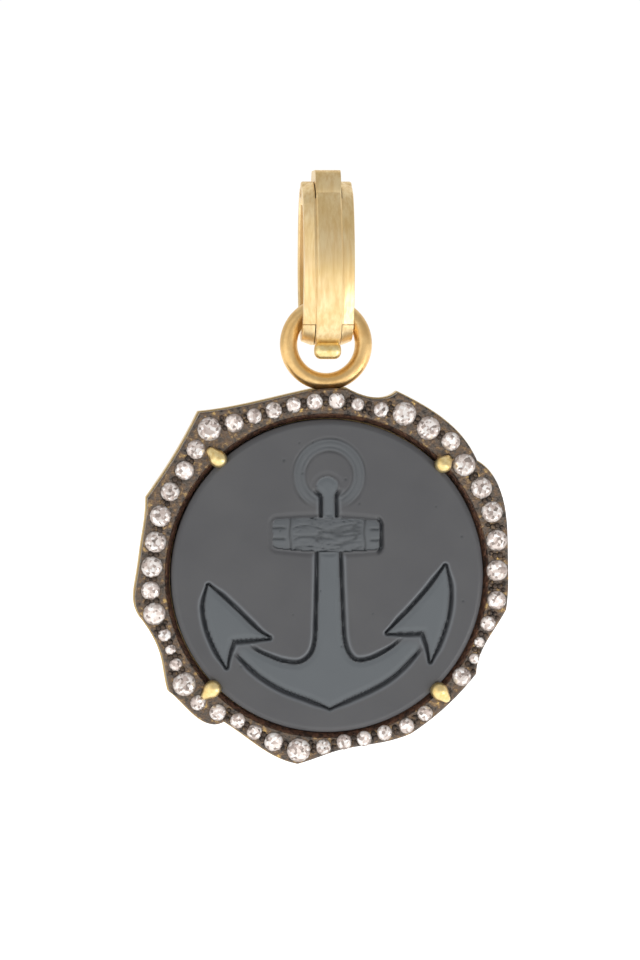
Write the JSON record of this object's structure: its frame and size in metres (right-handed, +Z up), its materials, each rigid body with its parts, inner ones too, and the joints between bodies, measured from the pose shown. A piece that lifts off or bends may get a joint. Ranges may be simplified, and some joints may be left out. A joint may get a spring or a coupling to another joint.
{
  "type": "carved stone pendant",
  "caption": "Round carved stone pendant with a freeform blackened rim of small stones, hanging by a ring from a hinged clip-on bail.",
  "frame": {"origin": "chain seat: the underside of the bail's hinge barrel, on the pendant's centre plane, where the chain carries it", "axes": "+Z up as the pendant hangs, front of the stone towards -Y, +X to the right seen from the front"},
  "size_m": [0.0314, 0.0079, 0.0494],
  "materials": {
    "satin_gold": "satin",
    "polished_gold": "polished",
    "blackened_silver": "satin",
    "hematite": "matte",
    "white_brilliant": "gloss"
  },
  "bodies": {
    "bail_back": {"bail_back_leaf": "satin_gold", "hinge_centre_knuckle": "satin_gold", "hinge_pin": "satin_gold", "catch_lug_left": "satin_gold", "catch_lug_right": "satin_gold", "catch_pin": "satin_gold"},
    "bail_front": {"bail_front_leaf": "satin_gold", "front_band": "satin_gold", "hinge_knuckle_left": "satin_gold", "hinge_knuckle_right": "satin_gold", "thumb_bead": "satin_gold"},
    "pendant": {"hanging_ring": "polished_gold", "front_plate": "blackened_silver", "back_frame": "satin_gold", "stone_bearing": "satin_gold", "stone_disc": "hematite", "claw_upper_right": "satin_gold", "claw_lower_right": "satin_gold", "claw_lower_left": "satin_gold", "claw_upper_left": "satin_gold", "gems_0_9mm": "white_brilliant", "gems_1_1mm": "white_brilliant", "gems_1_3mm": "white_brilliant", "gems_1_4mm": "white_brilliant", "gems_1_6mm": "white_brilliant", "gems_1_8mm": "white_brilliant", "gems_1_9mm": "white_brilliant", "gems_2_0mm": "white_brilliant", "setting_grains": "blackened_silver"}
  },
  "joints": [
    {"name": "bail_hinge", "type": "hinge", "parent": "bail_back", "child": "bail_front", "pos_m": [0, 0, 0.001], "axis": [-1, 0, 0], "range_deg": [0, 70]},
    {"name": "pendant_swing", "type": "hinge", "parent": "bail_back", "child": "pendant", "pos_m": [0, 0, -0.00931], "axis": [1, 0, 0], "range_deg": [-60, 60]}
  ]
}
